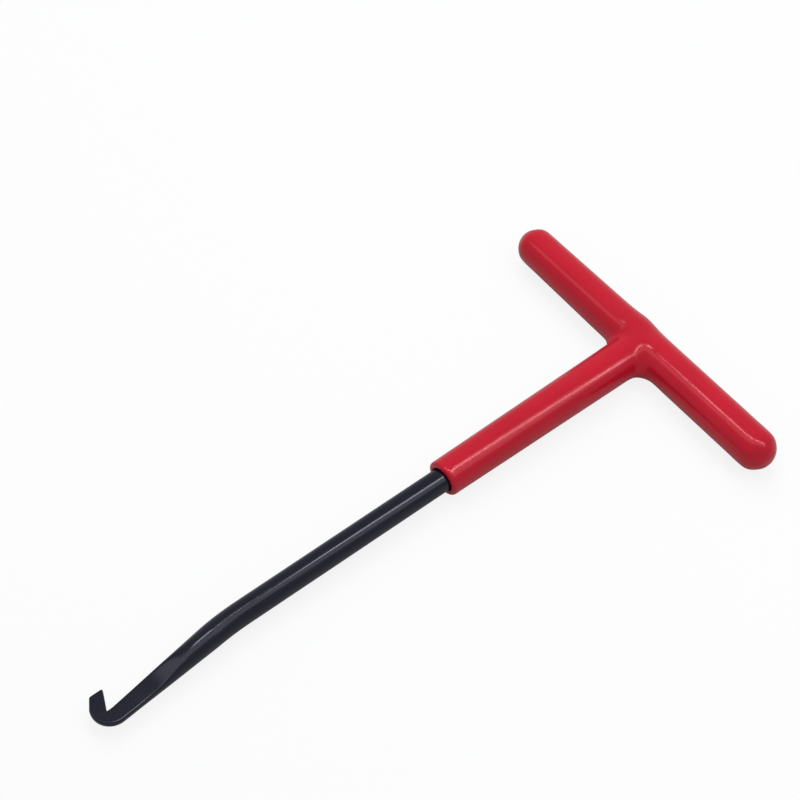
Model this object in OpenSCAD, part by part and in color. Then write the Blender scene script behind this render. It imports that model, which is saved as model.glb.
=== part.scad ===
// Spring puller: a round steel rod with a hammered hook at one end, welded to a
// steel cross bar at the other, with a thick coat of dipped vinyl over the T.
// The tool lies flat on a table. Sizes are in millimetres.
// The tool's own frame has the cross bar along Y through zero, the rod along +X
// and the hook in the plane of the T. At the end the tool is laid on the table.

/* [Steel rod and cross bar] */
// Diameter of the round bar that the rod and the cross bar are cut from
stock_d = 8; // [6:0.5:10]
// Length of the rod from the cross bar's axis to the corner of the bend
shank_l = 168.7; // [140:0.1:240]
// Angle of the sideways bend before the blade
bend_angle = 7; // [3:0.5:15]
// Radius of the rod's centre line round the bend
bend_r = 100; // [60:5:160]
// Chamfer on the ends of the cross bar
bar_chamfer = 0.6; // [0.2:0.1:1.5]
// How far the weld between the rod and the cross bar stands out of the steel
weld_leg = 1.5; // [0.8:0.1:1.8]

/* [Blade and hook] */
// Length of the blade from the corner of the bend to the start of the hook
blade_l = 43; // [40:0.5:70]
// Width of the tapered blade where the hook starts
blade_w = 5.6; // [4:0.1:6]
// Thickness of the hammered flat
flat_t = 2.1; // [1.5:0.1:3.5]
// Length over which the round rod runs down to the flat
flat_run = 31.5; // [20:0.5:33]
// Inner radius of the hook's round before its throat is filed
throat_r = 0.8; // [0.5:0.1:1.2]
// How far the file takes back the inner edge of the tip
file_in = 0.5; // [0.2:0.1:0.8]
// Width of the flat that the file leaves in the corner of the throat
file_edge = 0.4; // [0.2:0.1:0.8]
// Angle through which the hook turns back
hook_turn = 122; // [95:1:140]
// Length of the hook's straight tip along its middle
tip_l = 5; // [3:0.1:9]
// Width of the tip at its end
tip_w = 4.4; // [3:0.1:5]
// Slant of the cut across the tip's end
tip_slant = 25; // [0:1:35]

/* [Vinyl grip] */
// Overall length of the cross grip
grip_w = 119.4; // [90:0.2:150]
// Distance from the cross bar's axis to the mouth of the sleeve on the rod
sleeve_l = 85; // [50:0.5:110]
// Wall of the vinyl along the near arm
root_wall = 3; // [2.5:0.1:4]
// Wall of the vinyl on the rod where the sleeve leaves the T
sleeve_wall = 2.8; // [2:0.1:4]
// Wall of the vinyl at the end of the far arm
far_wall = 2.5; // [1.8:0.1:4]
// Wall of the vinyl at the mouth of the sleeve
mouth_wall = 2.2; // [1.4:0.1:3]
// Wall of the vinyl over the ends of the cross bar
end_wall = 3.2; // [2.2:0.1:4]
// Radius of the fillets in the inner corners of the T
corner_r = 5; // [3:0.5:12]
// Height of the low drip swelling on the back of the cross grip
drip_h = 0.9; // [0.3:0.1:1.5]
// Length of the drip swelling along the cross grip
drip_w = 20; // [12:0.5:24]
// Distance from the rod's axis to the middle of the swelling, towards the far arm
drip_off = 4; // [0:0.5:6]

/* [Hidden] */
$fn = 180;

// Each stretch of a bent bar is a hair slimmer than the one before and starts inside it
hair = 0.02;
lap = 0.05;
// The corner rounds of the coat run this many degrees into the arms and the sleeve
corner_lap = 1;
// The lip's round bites this far into the rod's bore, so that the coat closes on the rod
lip_bite = 0.1;
// The drip's round is this much slimmer than the coat, so that it sinks into its top
drip_sink = 0.5;
// Cutting shapes run this far past what they cut
spare = 1;
// The file leans this many degrees more than the blade tapers, so that it clears the blade
lean_spare = 1.5;

stock_r = stock_d / 2;

// Bend: distance from its corner to each end of the arc
bend_reach = bend_r * tan(bend_angle / 2);

// Blade: the flat runs down by two equal arcs, tangent to the rod and to the flat,
// and the first arc runs a little way under the second
flat_start = bend_reach;
flat_end = flat_start + flat_run;
flat_mid = flat_start + flat_run / 2;
flat_lap = flat_run / 50;
flat_drop = stock_r - flat_t / 2;
flat_arc_r = (flat_run * flat_run + flat_drop * flat_drop) / (4 * flat_drop);

// Hook: radii of the middle and the outside of its round
hook_mid_r = throat_r + blade_w / 2;
hook_out_r = throat_r + blade_w;
tip_spare = blade_w * tan(tip_slant) + spare;
tip_taper = (blade_w - tip_w) / tip_l;
hook_reach = hook_out_r + tip_l + tip_spare;

// Throat: a filed V between the inner edges of the blade and the tip. Its corner is past the
// start of the hook's round, and on the blade's side it leans a little more than the blade tapers
file_x = (throat_r + file_in - throat_r * cos(hook_turn)) / sin(hook_turn);
file_lean = atan((stock_r - blade_w / 2) / (blade_l - bend_reach)) + lean_spare;
file_half = (180 - hook_turn - file_lean) / 2;
file_deep = file_edge / 2 / tan(file_half);

// Grip: outer radii of the coat, and the steel inside it
root_r = stock_r + root_wall;
sleeve_r = stock_r + sleeve_wall;
far_r = stock_r + far_wall;
mouth_r = stock_r + mouth_wall;
lip_r = mouth_wall / 2 + lip_bite;
elbow_r = min(root_r, sleeve_r) - hair;
elbow_mid_r = elbow_r + corner_r;
bar_l = grip_w - 2 * end_wall;
weld_r = stock_r + weld_leg;
drip_r = root_r - drip_sink;
drip_rise = root_r + drip_h - drip_r;
drip_arc_r = (drip_w * drip_w / 4 + drip_rise * drip_rise) / (2 * drip_rise);
drip_angle = 2 * asin(drip_w / 2 / drip_arc_r);

// Rest: the cross grip and the lip of the sleeve touch the table, and the hook hangs clear
lip_x = sleeve_l - lip_r;
lip_mid_r = mouth_r - lip_r;
rest_tilt = asin((root_r - lip_r) / norm([lip_x, lip_mid_r])) - atan(lip_mid_r / lip_x);
hook_end_x = shank_l + blade_l * cos(bend_angle) + hook_mid_r * sin(bend_angle) + hook_out_r;
mid_x = (hook_end_x * cos(rest_tilt) - root_r - drip_h) / 2;

// Laid on the table, with the origin under the middle of the tool
module at_rest() {
    translate([-mid_x, 0, root_r]) rotate([0, rest_tilt, 0]) children();
}

// Turns what stands along Z so that it lies along +X or +Y
module along_x() {
    rotate([0, 90, 0]) children();
}
module along_y() {
    rotate([-90, 0, 0]) children();
}

// A round bar bent about Z, from the X axis through the given angle
module round_arc(radius, angle, diameter) {
    rotate_extrude(angle = angle) translate([radius, 0]) circle(d = diameter);
}

// The frame of the blade: X runs along it from the corner of the bend
module on_blade() {
    translate([shank_l, 0, 0]) rotate([0, 0, bend_angle]) children();
}

// The frame of the tip: Y runs from the tip's end back to the hook's round
module on_tip() {
    translate([blade_l, -hook_mid_r, 0]) rotate([0, 0, 90 - hook_turn])
        translate([hook_mid_r, 0, 0]) children();
}

// Straight shank and the bend, still the full round of the stock
module shank() {
    along_x() cylinder(h = shank_l - bend_reach + lap, d = stock_d);
    translate([shank_l - bend_reach, bend_r, 0]) rotate([0, 0, -90])
        round_arc(bend_r, bend_angle, stock_d - 2 * hair);
}

// Tapered round of the blade, turned back into the hook
module round_hook() {
    translate([bend_reach - lap, 0, 0]) along_x()
        cylinder(h = blade_l - bend_reach + 2 * lap, d1 = stock_d - 4 * hair, d2 = blade_w);
    translate([blade_l, -hook_mid_r, 0]) rotate([0, 0, 90 - hook_turn])
        round_arc(hook_mid_r, hook_turn, blade_w - 2 * hair);
    on_tip() difference() {
        translate([0, lap, 0]) rotate([90, 0, 0])
            cylinder(h = tip_l + tip_spare, d1 = blade_w - 4 * hair, d2 = tip_w - tip_taper * tip_spare);
        translate([0, -tip_l, 0]) rotate([0, 0, tip_slant])
            translate([-blade_w, -2 * tip_spare - tip_l, -blade_w])
                cube([2 * blade_w, 2 * tip_spare + tip_l, 2 * blade_w]);
    }
}

// Half of the blade's side view: how thick the hammer leaves it along its length
module half_side_view() {
    intersection() {
        translate([flat_start - spare, 0]) square([spare + flat_run / 2 + 2 * flat_lap, stock_r]);
        translate([flat_start, stock_r - flat_arc_r]) circle(r = flat_arc_r);
    }
    difference() {
        translate([flat_mid + flat_lap, 0]) square([flat_run / 2 - flat_lap, stock_r]);
        translate([flat_end, flat_t / 2 + flat_arc_r]) circle(r = flat_arc_r);
    }
    translate([flat_end, 0]) square([blade_l + hook_reach - flat_end, flat_t / 2]);
}

// What the file takes out of the throat: X runs from the corner of the V out of the hook
module throat_file() {
    translate([blade_l + file_x, -blade_w / 2, 0]) rotate([0, 0, 180 + file_lean + file_half])
        linear_extrude(height = 2 * stock_d, center = true) polygon([
            [file_deep, -file_edge / 2],
            [hook_reach, -hook_reach * tan(file_half)],
            [hook_reach, hook_reach * tan(file_half)],
            [file_deep, file_edge / 2]
        ]);
}

// Blade and hook: the tapered round hammered down to the flat, with its throat filed
module blade() {
    on_blade() difference() {
        intersection() {
            round_hook();
            rotate([90, 0, 0]) linear_extrude(height = 4 * hook_reach, center = true) {
                half_side_view();
                mirror([0, 1]) half_side_view();
            }
        }
        throat_file();
    }
}

// Cross bar with chamfered ends, inside the coat
module bar_solid() {
    along_y() rotate_extrude() polygon([
        [0, -bar_l / 2],
        [stock_r - bar_chamfer, -bar_l / 2],
        [stock_r, bar_chamfer - bar_l / 2],
        [stock_r, bar_l / 2 - bar_chamfer],
        [stock_r - bar_chamfer, bar_l / 2],
        [0, bar_l / 2]
    ]);
}

// The weld fills the corner round the rod's end
module weld_ball() {
    translate([stock_r / 2, 0, 0]) sphere(r = weld_r);
}

// Outside of the coat along the cross bar: Z of the profile is the tool's Y
module cross_coat() {
    along_y() rotate_extrude() intersection() {
        union() {
            polygon([
                [0, far_r - grip_w / 2],
                [far_r, far_r - grip_w / 2],
                [root_r, -elbow_mid_r],
                [root_r, grip_w / 2 - root_r],
                [0, grip_w / 2 - root_r]
            ]);
            translate([0, far_r - grip_w / 2]) circle(r = far_r);
            translate([0, grip_w / 2 - root_r]) circle(r = root_r);
        }
        translate([0, -grip_w]) square([2 * root_r, 2 * grip_w]);
    }
}

// Outside of the coat along the rod, down to the round lip at its mouth
module sleeve_coat() {
    along_x() rotate_extrude() {
        polygon([
            [0, 0],
            [sleeve_r, 0],
            [sleeve_r, elbow_mid_r],
            [mouth_r, lip_x],
            [0, lip_x]
        ]);
        translate([lip_mid_r, lip_x]) circle(r = lip_r);
    }
}

// Rounded inner corner of the T on one side
module corner_coat(side) {
    translate([elbow_mid_r, side * elbow_mid_r, 0])
        rotate([0, 0, (side > 0 ? 180 : 90) - corner_lap])
            round_arc(elbow_mid_r, 90 + 2 * corner_lap, 2 * elbow_r);
}

// Low swelling where the coat dripped off the back of the cross grip
module drip_coat() {
    translate([drip_arc_r - drip_rise, -drip_off, 0]) rotate([0, 0, 180 - drip_angle / 2])
        round_arc(drip_arc_r, drip_angle, 2 * drip_r);
}

// Forged rod, its end coped to sit on the cross bar
module hook_rod() {
    color("#26262c") at_rest() difference() {
        union() {
            shank();
            blade();
        }
        bar_solid();
    }
}

// Plain round bar, hidden in the coat
module cross_bar() {
    color("dimgray") at_rest() bar_solid();
}

// Weld in the corner between the rod and the cross bar
module weld_bead() {
    color("gray") at_rest() difference() {
        weld_ball();
        bar_solid();
        shank();
    }
}

// Dipped coat over the T, filled by the steel inside it
module grip_cover() {
    color("#c8202f") at_rest() difference() {
        union() {
            cross_coat();
            sleeve_coat();
            corner_coat(1);
            corner_coat(-1);
            drip_coat();
        }
        bar_solid();
        weld_ball();
        shank();
    }
}

hook_rod();
cross_bar();
weld_bead();
grip_cover();
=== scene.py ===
"""Spring puller: a forged hook rod and its dipped vinyl T grip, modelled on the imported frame.

Sizes are in metres. The tool's own frame has the cross bar along Y through zero, the rod
along +X and the hook in the plane of the T. Each piece is made there and laid on the table.
"""
import math

import bmesh
import bpy
from mathutils import Matrix, Vector


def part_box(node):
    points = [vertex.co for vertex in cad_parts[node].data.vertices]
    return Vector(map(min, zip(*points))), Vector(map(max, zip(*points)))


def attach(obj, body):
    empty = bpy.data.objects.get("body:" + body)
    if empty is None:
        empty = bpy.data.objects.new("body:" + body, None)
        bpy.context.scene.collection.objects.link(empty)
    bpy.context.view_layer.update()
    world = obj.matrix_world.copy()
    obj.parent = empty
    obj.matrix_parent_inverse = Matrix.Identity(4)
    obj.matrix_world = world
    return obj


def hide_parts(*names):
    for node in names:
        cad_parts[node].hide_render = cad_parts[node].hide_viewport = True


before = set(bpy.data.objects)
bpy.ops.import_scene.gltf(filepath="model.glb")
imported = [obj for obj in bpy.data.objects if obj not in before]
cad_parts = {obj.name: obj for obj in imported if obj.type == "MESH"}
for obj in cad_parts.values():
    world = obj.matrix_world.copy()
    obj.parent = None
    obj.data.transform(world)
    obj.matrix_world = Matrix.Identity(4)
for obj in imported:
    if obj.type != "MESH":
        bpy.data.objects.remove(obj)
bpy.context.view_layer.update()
BAR_LOW, BAR_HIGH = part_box("cross_bar")
GRIP_LOW, GRIP_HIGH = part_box("grip_cover")

bl_info = {
    "name": "Spring Puller",
    "version": (1, 0, 0),
    "blender": (4, 5, 0),
    "location": "View3D > Sidebar > Spring Puller",
    "description": "Models a T-handled spring puller and sets it on a studio table",
    "category": "Object",
}

# A length too small to matter, straight down, and the decimals that the sidebar shows of a length
SMALL = 1e-6
DOWN = Vector((0, 0, -1))
DECIMALS = 5

# Rod: sides of its round, rings along each stretch of it, insets in its coped start, how much
# sooner than its flat the edges of the blade get their rounding, and levels of subdivision
ROD_SIDES = 48
SHANK_RINGS = 14
BEND_RINGS = 8
BLADE_RINGS = 48
HOOK_RINGS = 48
TIP_RINGS = 8
END_RINGS = 4
COPE_INSETS = 3
EDGE_GROWTH = 4
ROD_LEVELS = 1

# Grip: rounds of fitting the cage to its surface, levels of subdivision and the step between rings
CAGE_ROUNDS = 40
GRIP_LEVELS = 3
RING_STEP = 0.005

# Ends of the grip: rises of the rings round an arm's end and round the lip, rings before the lip
# in radii of the lip, rings before a bore's end in radii of the bore, and the radius of its last
END_RISES = [math.radians(rise) for rise in (30, 60)]
LIP_RISES = [math.radians(rise) for rise in (90, 45, 0, -50)]
LIP_STEPS = (6.0, 3.0, 1.3)
BORE_STEPS = (1.0, 0.5, 0.125)
BORE_END = 0.85

# Corners of the T: places of its middle and of its first rings, as shares of the way to the
# straight limbs, how much of the fillet there is above and below, and where on the fillet the
# first rings and the corner's own points lie
MIDDLE_SHARE = 0.42
FIRST_SHARE = 0.71
TOP_FILLET = 0.65
LOW_FILLET = 1.25
CORNER_RISE = math.radians(22.5)
DIAGONAL = math.radians(45)

# Finishes: strength of every bump, and how the rub marks are drawn out along X
BUMP_STRENGTH = 0.5
STREAK_SCALE = (0.04, 1.0, 1.0)

# Camera: width of its sensor in millimetres
SENSOR_W = 36.0


def size(name, description, default):
    """A length that a user can change."""
    return bpy.props.FloatProperty(
        name=name, description=description, default=default, min=0.0, precision=DECIMALS, unit="LENGTH"
    )


def offset(name, description, default):
    """A distance along a line, either way, that a user can change."""
    return bpy.props.FloatProperty(
        name=name, description=description, default=default, precision=DECIMALS, unit="LENGTH"
    )


def spot(name, description, default):
    """A place that a user can change."""
    return bpy.props.FloatVectorProperty(
        name=name, description=description, default=default, size=3, precision=DECIMALS,
        subtype="TRANSLATION", unit="LENGTH"
    )


def turn(name, description, degrees):
    """An angle that a user can change."""
    return bpy.props.FloatProperty(
        name=name, description=description, default=math.radians(degrees), subtype="ANGLE"
    )


def colour(name, description, default):
    """A linear colour that a user can change."""
    return bpy.props.FloatVectorProperty(
        name=name, description=description, default=(*default, 1.0), size=4,
        min=0.0, max=1.0, subtype="COLOR"
    )


def amount(name, description, default):
    """A plain number that a user can change."""
    return bpy.props.FloatProperty(name=name, description=description, default=default, min=0.0)


def span(name, description, default):
    """Two shares to go between, which a user can change."""
    return bpy.props.FloatVectorProperty(
        name=name, description=description, default=default, size=2, min=0.0, max=1.0
    )


class RodSizes(bpy.types.PropertyGroup):
    """Sizes of the forged rod, its blade and its hook."""

    stock_d: size("Stock diameter", "Round bar that the rod is forged from", BAR_HIGH.z - BAR_LOW.z)
    shank_l: size("Shank length", "From the cross bar's axis to the corner of the bend", 0.1687)
    bend_angle: turn("Bend", "Sideways bend before the blade", 7)
    bend_r: size("Bend radius", "Radius of the middle of the rod round the bend", 0.1)
    blade_l: size("Blade length", "From the corner of the bend to the start of the hook", 0.043)
    blade_w: size("Blade width", "Width of the tapered blade where the hook starts", 0.0056)
    flat_t: size("Flat thickness", "Thickness of the hammered flat", 0.0021)
    flat_run: size("Flat run", "Length over which the round runs down to the flat", 0.0315)
    throat_r: size("Throat radius", "Inner radius of the hook before its throat is filed", 0.0008)
    file_in: size("Filed depth", "How far the file takes back the inner edge of the tip", 0.0005)
    file_edge: size("Filed corner", "Rounding that the file leaves in the throat", 0.0004)
    hook_turn: turn("Hook turn", "Angle through which the hook turns back", 122)
    tip_l: size("Tip length", "Straight tip of the hook along its middle", 0.005)
    tip_w: size("Tip width", "Width of the tip at its end", 0.0044)
    tip_slant: turn("Tip slant", "Slant of the cut across the tip's end", 25)
    flat_edge: size("Flat edge", "Depth over which the edges of the flat are rounded", 0.0006)
    tip_edge: size("Tip edge", "Rounding of the edge round the cut end", 0.00025)


class GripSizes(bpy.types.PropertyGroup):
    """Sizes of the dipped vinyl coat over the T."""

    grip_w: size("Grip width", "Length of the cross grip over its round ends", GRIP_HIGH.y - GRIP_LOW.y)
    sleeve_l: size("Sleeve length", "From the cross bar's axis to the mouth on the rod", 0.085)
    near_r: size("Near arm radius", "Outer radius of the fuller arm", 0.007)
    far_r: size("Far arm radius", "Outer radius at the end of the slimmer arm", 0.0065)
    sleeve_r: size("Sleeve radius", "Outer radius where the sleeve leaves the T", 0.0068)
    mouth_r: size("Mouth radius", "Outer radius at the sleeve's mouth", 0.0062)
    lip_r: size("Lip radius", "Rounding of the lip at the mouth", 0.0011)
    corner_r: size("Corner radius", "Fillets in the inner corners of the T", 0.005)
    drip_h: size("Drip height", "Low swelling on the back of the cross grip", 0.0009)
    drip_w: size("Drip width", "Length of the swelling along the cross grip", 0.02)
    drip_off: size("Drip offset", "From the rod's axis to the swelling, towards the far arm", 0.004)
    mouth_slant: turn("Mouth slant", "Tilt of the line to which the sleeve was dipped", 3)
    weld_leg: size("Weld leg", "How far the weld inside stands out of the steel", 0.0016)
    bore_gap: size("Bore gap", "Room between the steel and the coat's inner wall", 0.00002)


class Finishes(bpy.types.PropertyGroup):
    """Colours, gloss and depth of the surfaces."""

    vinyl: colour("Vinyl", "Dipped vinyl in the light", (0.60, 0.007, 0.026))
    vinyl_deep: colour("Deep vinyl", "Vinyl where the coat is thick and dark", (0.54, 0.005, 0.021))
    vinyl_shine: colour("Vinyl shine", "Tint of the light that the vinyl reflects", (1.0, 0.5, 0.52))
    vinyl_rough: span("Vinyl roughness", "From the smoothest of the vinyl to the dullest", (0.13, 0.17))
    vinyl_index: amount("Vinyl index", "Refractive index of the vinyl", 1.62)
    vinyl_ripple: size("Vinyl ripple", "Depth of the ripple that the dip left", 0.00004)
    black: colour("Black coat", "Baked black coat on the rod", (0.003, 0.003, 0.0105))
    black_rubbed: colour("Rubbed black", "Black coat where it is rubbed", (0.0075, 0.0075, 0.0125))
    black_shine: colour("Black shine", "Tint of the light that the black coat reflects", (0.85, 0.87, 1.0))
    black_rough: span("Black roughness", "From the black coat as baked to where it is rubbed", (0.13, 0.19))
    black_index: amount("Black index", "Refractive index of the black coat", 1.52)
    black_grain: size("Black grain", "Depth of the black coat's grain", 0.00003)
    steel: colour("Steel", "Bare steel inside the grip", (0.42, 0.41, 0.40))
    steel_dark: colour("Dark steel", "Mill scale on the bare steel", (0.16, 0.155, 0.15))
    steel_rough: span("Steel roughness", "From the steel as rolled to where it is rubbed", (0.48, 0.3))
    steel_scale: size("Steel scale", "Depth of the scale on the steel", 0.0001)


class StageSizes(bpy.types.PropertyGroup):
    """Floor, lamps and camera. Tubes and aim are placed from under the middle of the cross bar."""

    floor: amount("Floor", "How pale the floor looks", 0.92)
    floor_bounce: amount("Floor bounce", "Share of the light that the floor throws back on the tool", 0.5)
    floor_w: size("Floor width", "Width of the square floor", 8.0)
    floor_glow: amount("Floor glow", "Share of the floor that shows as plain white paper", 0.85)
    floor_sheen: amount("Floor in gloss", "Share of that white that glossy surfaces show", 0.1)
    sky: colour("Surroundings", "Colour of the room", (0.93, 0.95, 1.0))
    sky_level: amount("Room light", "Level of the room's light", 0.44)
    tube_turn: turn("Tube direction", "Direction in which the tube lamps run", -57.48)
    narrow_place: spot("Narrow tube", "Place from which its two parts are measured", (-0.145, 0.16, 0.6))
    narrow_w: size("Narrow width", "Width of the narrow tube", 0.045)
    narrow_level: amount("Narrow level", "Radiance of the narrow tube", 9.0)
    long_at: offset("Long part", "Middle of the narrow tube's long part, along the tube", -0.1275)
    long_l: size("Long part's length", "Length of the narrow tube's long part", 0.695)
    short_at: offset("Short part", "Middle of the narrow tube's short part, along the tube", 0.385)
    short_l: size("Short part's length", "Length of the narrow tube's short part", 0.18)
    broad_place: spot("Broad tube", "Middle of the broad tube", (0.015, 0.165, 0.6))
    broad_l: size("Broad length", "Length of the broad tube", 1.57)
    broad_w: size("Broad width", "Width of the broad tube", 0.16)
    broad_level: amount("Broad level", "Radiance of the broad tube", 0.9)
    soft_place: spot("Soft box", "Middle of the soft box, from under the tool's middle", (-0.55, -0.7, 1.1))
    soft_w: size("Soft box width", "Width of the square soft box", 1.0)
    soft_level: amount("Soft box level", "Radiance of the soft box", 2.6)
    azimuth: turn("Azimuth", "Camera's direction round the tool", 141.502)
    elevation: turn("Elevation", "Camera's height over the table", 53.356)
    distance: size("Distance", "From the camera to the point that it looks at", 0.759364)
    aim: spot("Aim", "Point that the camera looks at", (0.072911, -0.036186, 0.0))
    lens: bpy.props.FloatProperty(
        name="Lens", description="Focal length on the camera's sensor", default=104.955, unit="CAMERA"
    )


def lip_centre(grip):
    """Middle of the lip's rounding: along the sleeve, and out from its axis."""
    return grip.sleeve_l - grip.lip_r, grip.mouth_r - grip.lip_r


def tool_place(grip):
    """Lays the tool's own frame on the table: it rests on the cross grip and the sleeve's lip."""
    lip_x, lip_mid = lip_centre(grip)
    drop = (grip.near_r - grip.lip_r) / math.hypot(lip_x, lip_mid)
    tilt = math.asin(drop) - math.atan2(lip_mid, lip_x)
    return Matrix.Translation((BAR_LOW + BAR_HIGH) / 2) @ Matrix.Rotation(tilt, 4, "Y")


def finish_piece(bm, name, place, material, levels):
    """Turns a closed bmesh into a smooth piece that rides on the tool."""
    bmesh.ops.recalc_face_normals(bm, faces=bm.faces)
    bmesh.ops.transform(bm, matrix=place, verts=bm.verts)
    for face in bm.faces:
        face.smooth = True
    mesh = bpy.data.meshes.new(name)
    bm.to_mesh(mesh)
    bm.free()
    mesh.materials.append(material)
    piece = bpy.data.objects.new(name, mesh)
    bpy.context.scene.collection.objects.link(piece)
    smooth = piece.modifiers.new("Smooth surface", "SUBSURF")
    smooth.levels = levels
    smooth.render_levels = levels
    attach(piece, "root")
    return piece


def check_closed(bm, name):
    """Stops the script if a piece has a hole or a stray face."""
    if any(not edge.is_manifold for edge in bm.edges):
        raise RuntimeError(f"{name} is not a closed shell")


# Rod


def rod_path(rod):
    """Stretches of the rod as (length, turn): shank, bend, blade, hook and tip."""
    reach = rod.bend_r * math.tan(rod.bend_angle / 2)
    hook_mid_r = rod.throat_r + rod.blade_w / 2
    return [
        (rod.shank_l - reach, 0.0),
        (rod.bend_r * rod.bend_angle, rod.bend_angle),
        (rod.blade_l - reach, 0.0),
        (hook_mid_r * rod.hook_turn, -rod.hook_turn),
        (rod.tip_l, 0.0),
    ]


def stretch_starts(path):
    """Lengths along the rod at which each stretch starts, and the rod's whole length."""
    starts = [0.0]
    for length, _ in path:
        starts.append(starts[-1] + length)
    return starts


def path_place(path, along):
    """Frame of the rod's middle at a length along it."""
    place = Matrix.Identity(4)
    for number, (length, bend) in enumerate(path):
        last = number == len(path) - 1
        run = along if last else min(along, length)
        if bend:
            radius = length / bend
            middle = Matrix.Translation((0, radius, 0))
            place = place @ middle @ Matrix.Rotation(run / radius, 4, "Z") @ middle.inverted()
        else:
            place = place @ Matrix.Translation((run, 0, 0))
        along -= run
        if along <= 0:
            break
    return place


def end_inset(rod, total, along):
    """How far the rounded edge at the tip's end stands in at a length along the rod."""
    depth = along - (total - rod.tip_edge)
    if depth <= 0:
        return 0.0
    return rod.tip_edge - math.sqrt(max(rod.tip_edge**2 - depth**2, 0.0))


def round_radius(rod, starts, along):
    """Radius of the tapered round before it is hammered."""
    blade, hook, tip, total = starts[2:]
    if along <= blade:
        radius = rod.stock_d / 2
    elif along <= hook:
        share = (along - blade) / (hook - blade)
        radius = (rod.stock_d + (rod.blade_w - rod.stock_d) * share) / 2
    else:
        share = max(along - tip, 0.0) / (total - tip)
        radius = (rod.blade_w + (rod.tip_w - rod.blade_w) * share) / 2
    return radius - end_inset(rod, total, along)


def flat_share(rod, starts, along):
    """How far the hammered flat has run down, from 0 on the round to 1 on the flat."""
    share = min(max((along - starts[2]) / rod.flat_run, 0.0), 1.0)
    return 2 * share**2 if share < 0.5 else 1 - 2 * (1 - share) ** 2


def soft_least(first, second, soft):
    """The lesser of two lengths, with a rounded change from one to the other."""
    overlap = max(soft - abs(first - second), 0.0)
    return min(first, second) - overlap**2 / (4 * soft)


def filed_share(rod, starts, along):
    """Share of the hook's inner half that the file leaves at a length along the rod."""
    hook, tip = starts[3:5]
    if along <= hook:
        return 1.0
    half_w = rod.blade_w / 2
    mid_r = rod.throat_r + half_w
    tip_side = rod.throat_r + rod.file_in
    if along >= tip:
        return min((mid_r - tip_side) / round_radius(rod, starts, along), 1.0)
    turned = (along - hook) / mid_r
    flat_angle = math.pi / 2 - SMALL
    from_blade = rod.throat_r / math.cos(min(turned, flat_angle))
    from_tip = tip_side / math.cos(min(rod.hook_turn - turned, flat_angle))
    return (mid_r - soft_least(from_blade, from_tip, rod.file_edge)) / half_w


def draw_bar(rod, path, starts):
    """Straight tapered round bar along X, coped at its start to sit on the cross bar."""
    bm = bmesh.new()
    stock_r = rod.stock_d / 2
    upright = Matrix.Rotation(math.pi / 2, 4, "Y")
    bmesh.ops.create_circle(bm, cap_ends=True, segments=ROD_SIDES, radius=stock_r, matrix=upright)
    cap = list(bm.faces)
    edges = list(bm.edges)
    for _ in range(COPE_INSETS):
        bmesh.ops.inset_region(bm, faces=cap, thickness=stock_r / (COPE_INSETS + 1), use_even_offset=True)
    for vert in bm.verts:
        vert.co.x = math.sqrt(max(stock_r**2 - vert.co.z**2, 0.0))
    rings = [SHANK_RINGS, BEND_RINGS, BLADE_RINGS, HOOK_RINGS, TIP_RINGS]
    total = starts[-1]
    stations = [
        start + length * (ring + 1) / count
        for start, (length, _), count in zip(starts, path, rings)
        for ring in range(count)
    ]
    stations[-1] = total - rod.tip_edge
    stations += [
        total - rod.tip_edge * (1 - math.sin(math.pi / 2 * (ring + 1) / END_RINGS))
        for ring in range(END_RINGS)
    ]
    for along in stations:
        out = bmesh.ops.extrude_edge_only(bm, edges=edges)["geom"]
        ring = [item for item in out if isinstance(item, bmesh.types.BMVert)]
        edges = [item for item in out if isinstance(item, bmesh.types.BMEdge)]
        radius = round_radius(rod, starts, along)
        for vert in ring:
            vert.co = Vector((0, vert.co.y, vert.co.z)).normalized() * radius
            vert.co.x = along
    bmesh.ops.edgeloop_fill(bm, edges=edges)
    return bm


def hammer_blade(bm, rod, starts):
    """Brings the blade down to its flat, above and below."""
    for vert in bm.verts:
        along = vert.co.x
        share = flat_share(rod, starts, along)
        if share > 0:
            stock_r = rod.stock_d / 2
            limit = stock_r + (rod.flat_t / 2 - stock_r) * share - end_inset(rod, starts[-1], along)
            soft = rod.flat_edge * min(EDGE_GROWTH * share, 1.0)
            vert.co.z = math.copysign(soft_least(abs(vert.co.z), limit, soft), vert.co.z)


def curl_hook(bm, rod, path, starts):
    """Files the throat, cuts the tip at its slant, then bends the straight bar along its path."""
    tip = starts[4]
    slope = math.tan(rod.tip_slant) / rod.tip_l
    for vert in bm.verts:
        along, across, height = vert.co
        if across < 0:
            across *= filed_share(rod, starts, along)
        if along > tip:
            along = tip + (along - tip) * (1 - across * slope)
        vert.co = path_place(path, along) @ Vector((0, across, height))


class PULLER_OT_forge_rod(bpy.types.Operator):
    """Draws the round bar, hammers its blade flat and curls the hook"""

    bl_idname = "puller.forge_rod"
    bl_label = "Forge Rod"

    def execute(self, context):
        rod = context.scene.puller_rod
        path = rod_path(rod)
        starts = stretch_starts(path)
        bm = draw_bar(rod, path, starts)
        hammer_blade(bm, rod, starts)
        curl_hook(bm, rod, path, starts)
        check_closed(bm, "forged_rod")
        place = tool_place(context.scene.puller_grip)
        piece = finish_piece(bm, "forged_rod", place, black_coat(context.scene.puller_finish), ROD_LEVELS)
        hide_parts("hook_rod")
        return {"FINISHED"}


# Grip


def limit_point(vert):
    """Where a corner of an all-quad cage ends up on the smooth surface."""
    count = len(vert.link_edges)
    near = sum((edge.other_vert(vert).co for edge in vert.link_edges), Vector())
    linked = {edge.other_vert(vert) for edge in vert.link_edges} | {vert}
    across = sum((v.co for face in vert.link_faces for v in face.verts if v not in linked), Vector())
    return (count**2 * vert.co + 4 * near + across) / (count * (count + 5))


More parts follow.
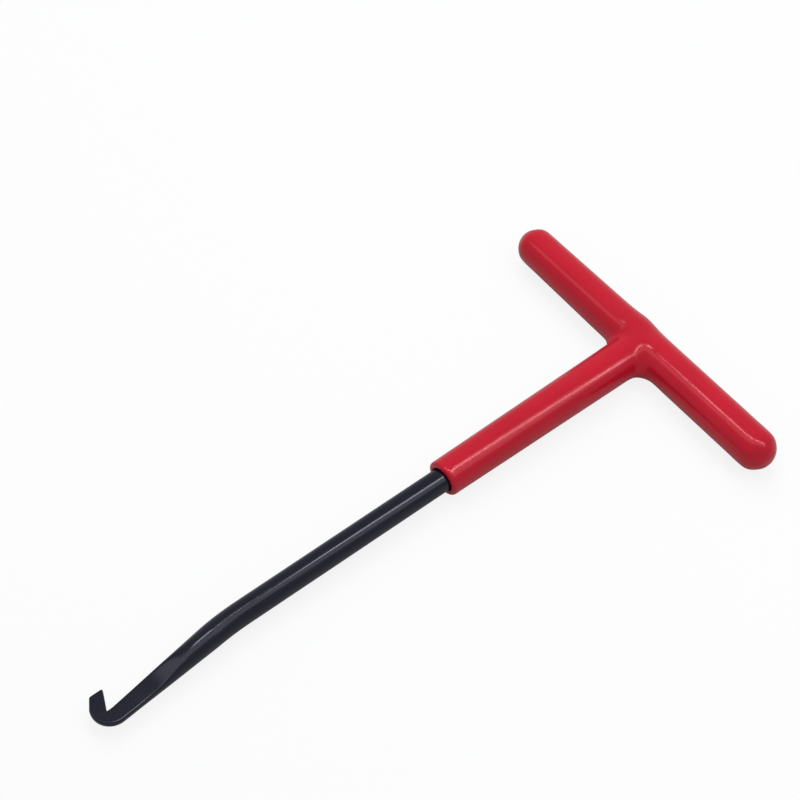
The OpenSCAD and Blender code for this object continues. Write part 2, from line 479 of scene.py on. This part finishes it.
def fit_cage(bm):
    """Moves the cage out until the smooth surface passes where its corners were."""
    goals = {vert: vert.co.copy() for vert in bm.verts}
    for _ in range(CAGE_ROUNDS):
        moves = {vert: goals[vert] - limit_point(vert) for vert in bm.verts}
        for vert, move in moves.items():
            vert.co += move


def pull_patch(bm, faces, axis, stations, pole=None):
    """Pulls a patch of the cube out along an axis, as a round ring at each (along, radius)."""
    for along, radius in stations:
        out = bmesh.ops.extrude_face_region(bm, geom=faces)["geom"]
        bmesh.ops.delete(bm, geom=faces, context="FACES")
        faces = [item for item in out if isinstance(item, bmesh.types.BMFace)]
        for vert in {v for face in faces for v in face.verts}:
            spoke = vert.co.copy()
            spoke[axis] = 0
            centre = spoke.length < SMALL
            vert.co = spoke.normalized() * radius
            vert.co[axis] = pole if centre and pole is not None else along
    return faces


def fillet_at(corner_r, height):
    """Radius of a corner's fillet: small above, where the coat ran off, and full below."""
    if height > SMALL:
        return corner_r * TOP_FILLET
    return corner_r * LOW_FILLET if height < -SMALL else corner_r


def lay_first_rings(bm, first, corner_r):
    """Lays the corner sides of the first rings on the fillets, beside the limbs and below."""
    for vert in (v for v in bm.verts if v.co.z < SMALL):
        x, y, z = vert.co
        fillet_r = fillet_at(corner_r, z)
        beside = fillet_r * (1 - math.cos(CORNER_RISE))
        along = fillet_r * (1 - math.sin(CORNER_RISE))
        if x > SMALL and abs(abs(y) - first) < SMALL:
            vert.co = (x + beside, math.copysign(x + along, y), z)
        elif abs(y) > SMALL and abs(x - first) < SMALL:
            vert.co = (abs(y) + along, y + math.copysign(beside, y), z)


def shape_middle(signs, middle, root_r, middle_r, elbow_r, corner_r):
    """Moves what is left of the cube to the middle of the T and to its corners."""
    for vert, (sx, sy, sz) in signs.items():
        if not vert.is_valid:
            continue
        if sx > 0 and sy:
            rise = DIAGONAL if sz else 0.0
            out = elbow_r * math.cos(rise) + fillet_at(corner_r, sz) * (1 - math.cos(DIAGONAL))
            vert.co = (out, out * sy, elbow_r * math.sin(rise) * sz)
        elif sx > 0:
            vert.co = (middle, 0, middle_r * sz)
        else:
            spoke = Vector((sx, 0, sz)).normalized()
            vert.co = spoke * (root_r if sy else middle_r) + Vector((0, middle * sy, 0))


def box_tee(arms, sleeve, root_r, middle_r, elbow_r, corner_r):
    """Boxes a hollow T out of a cube: its arms, its sleeve and the round corners between them."""
    bm = bmesh.new()
    bmesh.ops.create_cube(bm, size=2)
    bmesh.ops.subdivide_edges(bm, edges=bm.edges, cuts=1, use_grid_fill=True)
    signs = {vert: vert.co.copy() for vert in bm.verts}
    faces_at = {
        key: [face for face in bm.faces if face.calc_center_median()[axis] * side > 1 - SMALL]
        for key, axis, side in (("near", 1, 1), ("far", 1, -1), ("sleeve", 0, 1))
    }
    root = elbow_r + corner_r
    first = root * FIRST_SHARE
    for key, side in (("near", 1), ("far", -1)):
        stations, pole = arms[key]
        pull_patch(bm, faces_at[key], 1, [(side * first, root_r)] + stations, pole)
    mouth = pull_patch(bm, faces_at["sleeve"], 0, [(first, elbow_r)] + sleeve)
    bmesh.ops.delete(bm, geom=mouth, context="FACES")
    lay_first_rings(bm, first, corner_r)
    shape_middle(signs, root * MIDDLE_SHARE, root_r, middle_r, elbow_r, corner_r)
    return bm


def spread(start, end):
    """Even stations from start to end, about a ring's step apart."""
    count = max(round(abs(end - start) / RING_STEP), 1)
    return [start + (end - start) * number / count for number in range(count + 1)]


def stations_to(start, end, steps, unit):
    """Even stations from start, then closer ones, each so many units short of the end."""
    return spread(start, end - steps[0] * unit) + [end - step * unit for step in steps[1:]]


def coat_arm(root, root_r, half, end_r, side):
    """Rings along one arm of the coat, from the T to the pole of its round end."""
    start = half - end_r
    taper = (end_r - root_r) / (start - root)
    rings = [(side * y, root_r + taper * (y - root)) for y in spread(root, start)]
    for rise in END_RISES:
        rings.append((side * (start + end_r * math.sin(rise)), end_r * math.cos(rise)))
    return rings, side * half


def swell_back(bm, grip):
    """Raises the low swelling that the dip left on the back of the cross grip."""
    for vert in bm.verts:
        off = (vert.co.y + grip.drip_off) / (grip.drip_w / 2)
        back = max(-vert.co.x, 0.0) / grip.near_r
        if abs(off) < 1:
            vert.co.x -= grip.drip_h * back**2 * (1 - off**2) ** 2


def slant_mouth(bm, grip):
    """Tilts the lip, as the T was not dipped quite upright."""
    lip_x, _ = lip_centre(grip)
    run = LIP_STEPS[0] * grip.lip_r
    for vert in bm.verts:
        share = min(max((vert.co.x - lip_x + run) / run, 0.0), 1.0)
        vert.co.x -= vert.co.y * math.tan(grip.mouth_slant) * share


def outer_tee(grip):
    """Outside of the coat, down to the inside of the lip."""
    half = grip.grip_w / 2
    root = grip.sleeve_r + grip.corner_r
    arms = {
        "near": coat_arm(root, grip.near_r, half, grip.near_r, 1),
        "far": coat_arm(root, grip.near_r, half, grip.far_r, -1),
    }
    lip_x, lip_mid = lip_centre(grip)
    taper = (grip.mouth_r - grip.sleeve_r) / (lip_x - root)
    along = stations_to(root, lip_x, LIP_STEPS, grip.lip_r)
    sleeve = [(x, grip.sleeve_r + taper * (x - root)) for x in along]
    for rise in LIP_RISES:
        sleeve.append((lip_x + grip.lip_r * math.cos(rise), lip_mid + grip.lip_r * math.sin(rise)))
    bm = box_tee(arms, sleeve, grip.near_r, grip.sleeve_r, grip.sleeve_r, grip.corner_r)
    swell_back(bm, grip)
    slant_mouth(bm, grip)
    return bm


def bore_arm(root, bore_r, end, side):
    """Rings along the bore of one arm, to the flat end of the cross bar."""
    rings = [(side * y, bore_r) for y in stations_to(root, end, BORE_STEPS, bore_r)]
    rings.append((side * end, bore_r * BORE_END))
    return rings, side * end


def inner_tee(grip, rod):
    """Inner wall of the coat, round the steel and the weld."""
    bore_r = rod.stock_d / 2 + grip.bore_gap
    weld_r = rod.stock_d / 2 + grip.weld_leg
    root = bore_r + grip.corner_r
    bar_end = BAR_HIGH.y + grip.bore_gap
    arms = {
        "near": bore_arm(root, bore_r, bar_end, 1),
        "far": bore_arm(root, bore_r, bar_end, -1),
    }
    lip_x, _ = lip_centre(grip)
    sleeve = [(x, bore_r) for x in stations_to(root, lip_x, LIP_STEPS, grip.lip_r)]
    return box_tee(arms, sleeve, bore_r, weld_r, bore_r, grip.corner_r)


class PULLER_OT_dip_grip(bpy.types.Operator):
    """Coats the T with dipped vinyl, closed on the rod by a round lip"""

    bl_idname = "puller.dip_grip"
    bl_label = "Dip Grip"

    def execute(self, context):
        grip = context.scene.puller_grip
        bm = outer_tee(grip)
        inner = inner_tee(grip, context.scene.puller_rod)
        inner_mesh = bpy.data.meshes.new("inner_wall")
        inner.to_mesh(inner_mesh)
        inner.free()
        bm.from_mesh(inner_mesh)
        bpy.data.meshes.remove(inner_mesh)
        bmesh.ops.bridge_loops(bm, edges=[edge for edge in bm.edges if edge.is_boundary])
        check_closed(bm, "vinyl_grip")
        fit_cage(bm)
        vinyl = red_vinyl(context.scene.puller_finish)
        piece = finish_piece(bm, "vinyl_grip", tool_place(grip), vinyl, GRIP_LEVELS)
        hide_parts("grip_cover")
        return {"FINISHED"}


# Finishes


def add_node(tree, kind, inputs=None, **settings):
    """Adds a node, with its own settings and a value or a link for each input, by name or number."""
    node = tree.nodes.new(kind)
    for name, value in settings.items():
        setattr(node, name, value)
    for name, value in (inputs or {}).items():
        if isinstance(value, bpy.types.NodeSocket):
            tree.links.new(value, node.inputs[name])
        else:
            node.inputs[name].default_value = value
    return node


def new_group(name, inputs, outputs):
    """Starts a shader node group with a vector and numbers, and returns it with its two ends."""
    group = bpy.data.node_groups.new(name, "ShaderNodeTree")
    group.interface.new_socket(name="Vector", in_out="INPUT", socket_type="NodeSocketVector")
    for socket in inputs:
        group.interface.new_socket(name=socket, in_out="INPUT", socket_type="NodeSocketFloat")
    for socket in outputs:
        group.interface.new_socket(name=socket, in_out="OUTPUT", socket_type="NodeSocketFloat")
    return group, group.nodes.new("NodeGroupInput"), group.nodes.new("NodeGroupOutput")


def surface_grain():
    """Group for the unevenness of a coat: a fine skin on a slow ripple, and the ripple's mask."""
    name = "Surface grain"
    if name in bpy.data.node_groups:
        return bpy.data.node_groups[name]
    group, start, end = new_group(name, ("Fine", "Slow", "Share"), ("Height", "Mask"))
    place = start.outputs["Vector"]
    fine = add_node(
        group, "ShaderNodeTexNoise", {"Vector": place, "Scale": start.outputs["Fine"], "Detail": 2.0}
    )
    slow = add_node(
        group, "ShaderNodeTexNoise", {"Vector": place, "Scale": start.outputs["Slow"], "Detail": 1.0}
    )
    both = add_node(
        group, "ShaderNodeMath",
        {0: fine.outputs["Fac"], 1: start.outputs["Share"], 2: slow.outputs["Fac"]},
        operation="MULTIPLY_ADD",
    )
    mask = add_node(
        group, "ShaderNodeMapRange", {"Value": slow.outputs["Fac"], "From Min": 0.3, "From Max": 0.7}
    )
    group.links.new(both.outputs[0], end.inputs["Height"])
    group.links.new(mask.outputs["Result"], end.inputs["Mask"])
    return group


def rub_marks():
    """Group for handling marks: fine streaks along X, broken up into patches."""
    name = "Rub marks"
    if name in bpy.data.node_groups:
        return bpy.data.node_groups[name]
    group, start, end = new_group(name, ("Streaks", "Patches"), ("Mask",))
    place = start.outputs["Vector"]
    drawn = add_node(group, "ShaderNodeMapping", {"Vector": place, "Scale": STREAK_SCALE})
    streak = add_node(
        group, "ShaderNodeTexNoise",
        {"Vector": drawn.outputs["Vector"], "Scale": start.outputs["Streaks"], "Detail": 3.0},
    )
    patch = add_node(
        group, "ShaderNodeTexNoise", {"Vector": place, "Scale": start.outputs["Patches"], "Detail": 2.0}
    )
    thin = add_node(
        group, "ShaderNodeMapRange", {"Value": streak.outputs["Fac"], "From Min": 0.5, "From Max": 0.75}
    )
    broad = add_node(
        group, "ShaderNodeMapRange", {"Value": patch.outputs["Fac"], "From Min": 0.4, "From Max": 0.65}
    )
    mask = add_node(
        group, "ShaderNodeMath", {0: thin.outputs["Result"], 1: broad.outputs["Result"]},
        operation="MULTIPLY",
    )
    group.links.new(mask.outputs[0], end.inputs["Mask"])
    return group


def new_material(name):
    """Starts a material, and returns it with its tree, its shader and its object coordinates."""
    material = bpy.data.materials.new(name)
    material.use_nodes = True
    tree = material.node_tree
    shader = tree.nodes["Principled BSDF"]
    place = tree.nodes.new("ShaderNodeTexCoord")
    return material, tree, shader, place.outputs["Object"]


def set_surface(tree, shader, tint, tones, gloss, roughness, height, depth):
    """Links a tint mask to the colour, a gloss mask to the roughness and a height to the normal."""
    ramp = add_node(tree, "ShaderNodeValToRGB", {"Fac": tint})
    for element, tone in zip(ramp.color_ramp.elements, tones):
        element.color = tone
    tree.links.new(ramp.outputs["Color"], shader.inputs["Base Color"])
    low, high = roughness
    rough = add_node(tree, "ShaderNodeMapRange", {"Value": gloss, "To Min": low, "To Max": high})
    tree.links.new(rough.outputs["Result"], shader.inputs["Roughness"])
    bump = add_node(
        tree, "ShaderNodeBump", {"Height": height, "Distance": depth, "Strength": BUMP_STRENGTH}
    )
    tree.links.new(bump.outputs["Normal"], shader.inputs["Normal"])


def red_vinyl(finish):
    """Glossy dipped vinyl: a slow ripple from the dip, and a slightly deeper red in places."""
    material, tree, shader, place = new_material("red_vinyl")
    grain = add_node(
        tree, "ShaderNodeGroup", {"Vector": place, "Fine": 900.0, "Slow": 55.0, "Share": 0.03},
        node_tree=surface_grain(),
    )
    set_surface(
        tree, shader,
        tint=grain.outputs["Mask"], tones=(finish.vinyl, finish.vinyl_deep),
        gloss=grain.outputs["Mask"], roughness=finish.vinyl_rough,
        height=grain.outputs["Height"], depth=finish.vinyl_ripple,
    )
    shader.inputs["IOR"].default_value = finish.vinyl_index
    shader.inputs["Specular Tint"].default_value = finish.vinyl_shine
    return material


def black_coat(finish):
    """Semi-gloss baked black coat over forged steel, a little rubbed by use."""
    material, tree, shader, place = new_material("black_coat")
    grain = add_node(
        tree, "ShaderNodeGroup", {"Vector": place, "Fine": 1400.0, "Slow": 60.0, "Share": 0.02},
        node_tree=surface_grain(),
    )
    rubs = add_node(
        tree, "ShaderNodeGroup", {"Vector": place, "Streaks": 1100.0, "Patches": 70.0},
        node_tree=rub_marks(),
    )
    set_surface(
        tree, shader,
        tint=rubs.outputs["Mask"], tones=(finish.black, finish.black_rubbed),
        gloss=rubs.outputs["Mask"], roughness=finish.black_rough,
        height=grain.outputs["Height"], depth=finish.black_grain,
    )
    shader.inputs["IOR"].default_value = finish.black_index
    shader.inputs["Specular Tint"].default_value = finish.black_shine
    return material


def bare_steel(finish):
    """Mill-finished steel with patches of scale, as it is inside the grip."""
    material, tree, shader, place = new_material("bare_steel")
    grain = add_node(
        tree, "ShaderNodeGroup", {"Vector": place, "Fine": 1600.0, "Slow": 160.0, "Share": 0.3},
        node_tree=surface_grain(),
    )
    rubs = add_node(
        tree, "ShaderNodeGroup", {"Vector": place, "Streaks": 900.0, "Patches": 120.0},
        node_tree=rub_marks(),
    )
    set_surface(
        tree, shader,
        tint=grain.outputs["Mask"], tones=(finish.steel, finish.steel_dark),
        gloss=rubs.outputs["Mask"], roughness=finish.steel_rough,
        height=grain.outputs["Height"], depth=finish.steel_scale,
    )
    shader.inputs["Metallic"].default_value = 1.0
    return material


class PULLER_OT_finish_steel(bpy.types.Operator):
    """Gives the cross bar and the weld inside the grip their bare steel"""

    bl_idname = "puller.finish_steel"
    bl_label = "Finish Steel"

    def execute(self, context):
        steel = bare_steel(context.scene.puller_finish)
        for name in ("cross_bar", "weld_bead"):
            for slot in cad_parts[name].material_slots:
                slot.material = steel
        return {"FINISHED"}


# Stage


def white_floor(stage):
    """Pale diffuse floor that looks like white paper and still takes a soft shadow."""
    material = bpy.data.materials.new("floor_paper")
    material.use_nodes = True
    # The glow only makes the floor look white: it isn't sampled as a lamp
    material.cycles.emission_sampling = "NONE"
    tree = material.node_tree
    tree.nodes.remove(tree.nodes["Principled BSDF"])
    rays = tree.nodes.new("ShaderNodeLightPath").outputs
    shade = add_node(
        tree, "ShaderNodeMath",
        {0: rays["Is Camera Ray"], 1: stage.floor - stage.floor_bounce, 2: stage.floor_bounce},
        operation="MULTIPLY_ADD",
    )
    diffuse = add_node(tree, "ShaderNodeBsdfDiffuse", {"Color": shade.outputs[0]})
    glow = add_node(tree, "ShaderNodeEmission", {"Strength": 1.0})
    seen = add_node(
        tree, "ShaderNodeMath",
        {0: rays["Is Glossy Ray"], 1: stage.floor_sheen, 2: rays["Is Camera Ray"]},
        operation="MULTIPLY_ADD", use_clamp=True,
    )
    through = add_node(
        tree, "ShaderNodeMath", {0: seen.outputs[0], 1: rays["Is Transmission Ray"]},
        operation="ADD", use_clamp=True,
    )
    share = add_node(
        tree, "ShaderNodeMath", {0: through.outputs[0], 1: stage.floor_glow}, operation="MULTIPLY"
    )
    mix = add_node(
        tree, "ShaderNodeMixShader", {0: share.outputs[0], 1: diffuse.outputs[0], 2: glow.outputs[0]}
    )
    tree.links.new(mix.outputs[0], tree.nodes["Material Output"].inputs["Surface"])
    return material


def lay_floor(stage):
    """Flat floor under the tool."""
    bm = bmesh.new()
    bmesh.ops.create_grid(bm, x_segments=1, y_segments=1, size=stage.floor_w / 2)
    mesh = bpy.data.meshes.new("floor")
    bm.to_mesh(mesh)
    bm.free()
    mesh.materials.append(white_floor(stage))
    floor = bpy.data.objects.new("floor", mesh)
    bpy.context.scene.collection.objects.link(floor)


def hang_lamp(name, centre, aim, length, width, radiance, spin=0.0):
    """A flat rectangular lamp of the given radiance that faces its aim."""
    lamp = bpy.data.lights.new(name, "AREA")
    lamp.shape = "RECTANGLE"
    lamp.size = length
    lamp.size_y = width
    lamp.energy = radiance * math.pi * length * width
    holder = bpy.data.objects.new(name, lamp)
    turned = (Vector(aim) - Vector(centre)).to_track_quat("-Z", "Y").to_matrix().to_4x4()
    holder.matrix_world = Matrix.Translation(centre) @ turned @ Matrix.Rotation(spin, 4, "Z")
    bpy.context.scene.collection.objects.link(holder)
    return holder


def hang_lamps(stage, axis):
    """Hangs a narrow and a broad tube lamp over the tool, and a soft box that fills from one side."""
    along = Vector((math.cos(stage.tube_turn), math.sin(stage.tube_turn), 0))
    # The narrow tube is in two parts, with a gap where the corner of the T would mirror it
    for name, place, length in (
        ("tube_long", stage.long_at, stage.long_l),
        ("tube_short", stage.short_at, stage.short_l),
    ):
        centre = axis + Vector(stage.narrow_place) + along * place
        hang_lamp(name, centre, centre + DOWN, length, stage.narrow_w, stage.narrow_level, stage.tube_turn)
    centre = axis + Vector(stage.broad_place)
    hang_lamp(
        "tube_broad", centre, centre + DOWN, stage.broad_l, stage.broad_w, stage.broad_level,
        stage.tube_turn,
    )
    soft_box = hang_lamp(
        "soft_box", Vector(stage.soft_place), Vector(), stage.soft_w, stage.soft_w, stage.soft_level
    )
    soft_box.visible_glossy = False


def light_room(scene, stage):
    """Even light from the room all round."""
    world = bpy.data.worlds.new("room")
    scene.world = world
    world.use_nodes = True
    room = world.node_tree.nodes["Background"]
    room.inputs["Color"].default_value = stage.sky
    room.inputs["Strength"].default_value = stage.sky_level


def set_camera(scene, stage, axis):
    """Camera that looks down on the tool."""
    lens = bpy.data.cameras.new("camera")
    lens.lens = stage.lens
    lens.sensor_width = SENSOR_W
    camera = bpy.data.objects.new("camera", lens)
    flat = math.cos(stage.elevation)
    back = Vector((
        math.sin(stage.azimuth) * flat, -math.cos(stage.azimuth) * flat, math.sin(stage.elevation)
    ))
    camera.location = axis + Vector(stage.aim) + back * stage.distance
    camera.rotation_euler = (-back).to_track_quat("-Z", "Y").to_euler()
    scene.collection.objects.link(camera)
    scene.camera = camera


class PULLER_OT_set_stage(bpy.types.Operator):
    """Lays the floor, hangs the lamps and sets the camera"""

    bl_idname = "puller.set_stage"
    bl_label = "Set Stage"

    def execute(self, context):
        scene = context.scene
        stage = scene.puller_stage
        axis = (BAR_LOW + BAR_HIGH) / 2
        axis.z = 0
        lay_floor(stage)
        hang_lamps(stage, axis)
        light_room(scene, stage)
        set_camera(scene, stage, axis)
        scene.view_settings.view_transform = "Standard"
        return {"FINISHED"}


class PULLER_PT_sidebar(bpy.types.Panel):
    """Sizes, colours and steps of the spring puller"""

    bl_label = "Spring Puller"
    bl_space_type = "VIEW_3D"
    bl_region_type = "UI"
    bl_category = "Spring Puller"

    def draw(self, context):
        scene = context.scene
        for group in (scene.puller_rod, scene.puller_grip, scene.puller_finish, scene.puller_stage):
            box = self.layout.box()
            for name in group.__annotations__:
                box.prop(group, name)
        for operator in OPERATORS:
            self.layout.operator(operator.bl_idname)


OPERATORS = (PULLER_OT_forge_rod, PULLER_OT_dip_grip, PULLER_OT_finish_steel, PULLER_OT_set_stage)
GROUPS = {
    "puller_rod": RodSizes,
    "puller_grip": GripSizes,
    "puller_finish": Finishes,
    "puller_stage": StageSizes,
}


def register():
    """Registers the groups, the operators and the panel, and puts the groups on the scene."""
    for cls in (*GROUPS.values(), *OPERATORS, PULLER_PT_sidebar):
        bpy.utils.register_class(cls)
    for name, cls in GROUPS.items():
        setattr(bpy.types.Scene, name, bpy.props.PointerProperty(type=cls))


def unregister():
    """Takes the groups off the scene and unregisters every class."""
    for name in GROUPS:
        delattr(bpy.types.Scene, name)
    for cls in (PULLER_PT_sidebar, *reversed(OPERATORS), *GROUPS.values()):
        bpy.utils.unregister_class(cls)


def main():
    """Makes every piece and the stage."""
    register()
    bpy.ops.puller.forge_rod()
    bpy.ops.puller.dip_grip()
    bpy.ops.puller.finish_steel()
    bpy.ops.puller.set_stage()


if __name__ == "__main__":
    main()
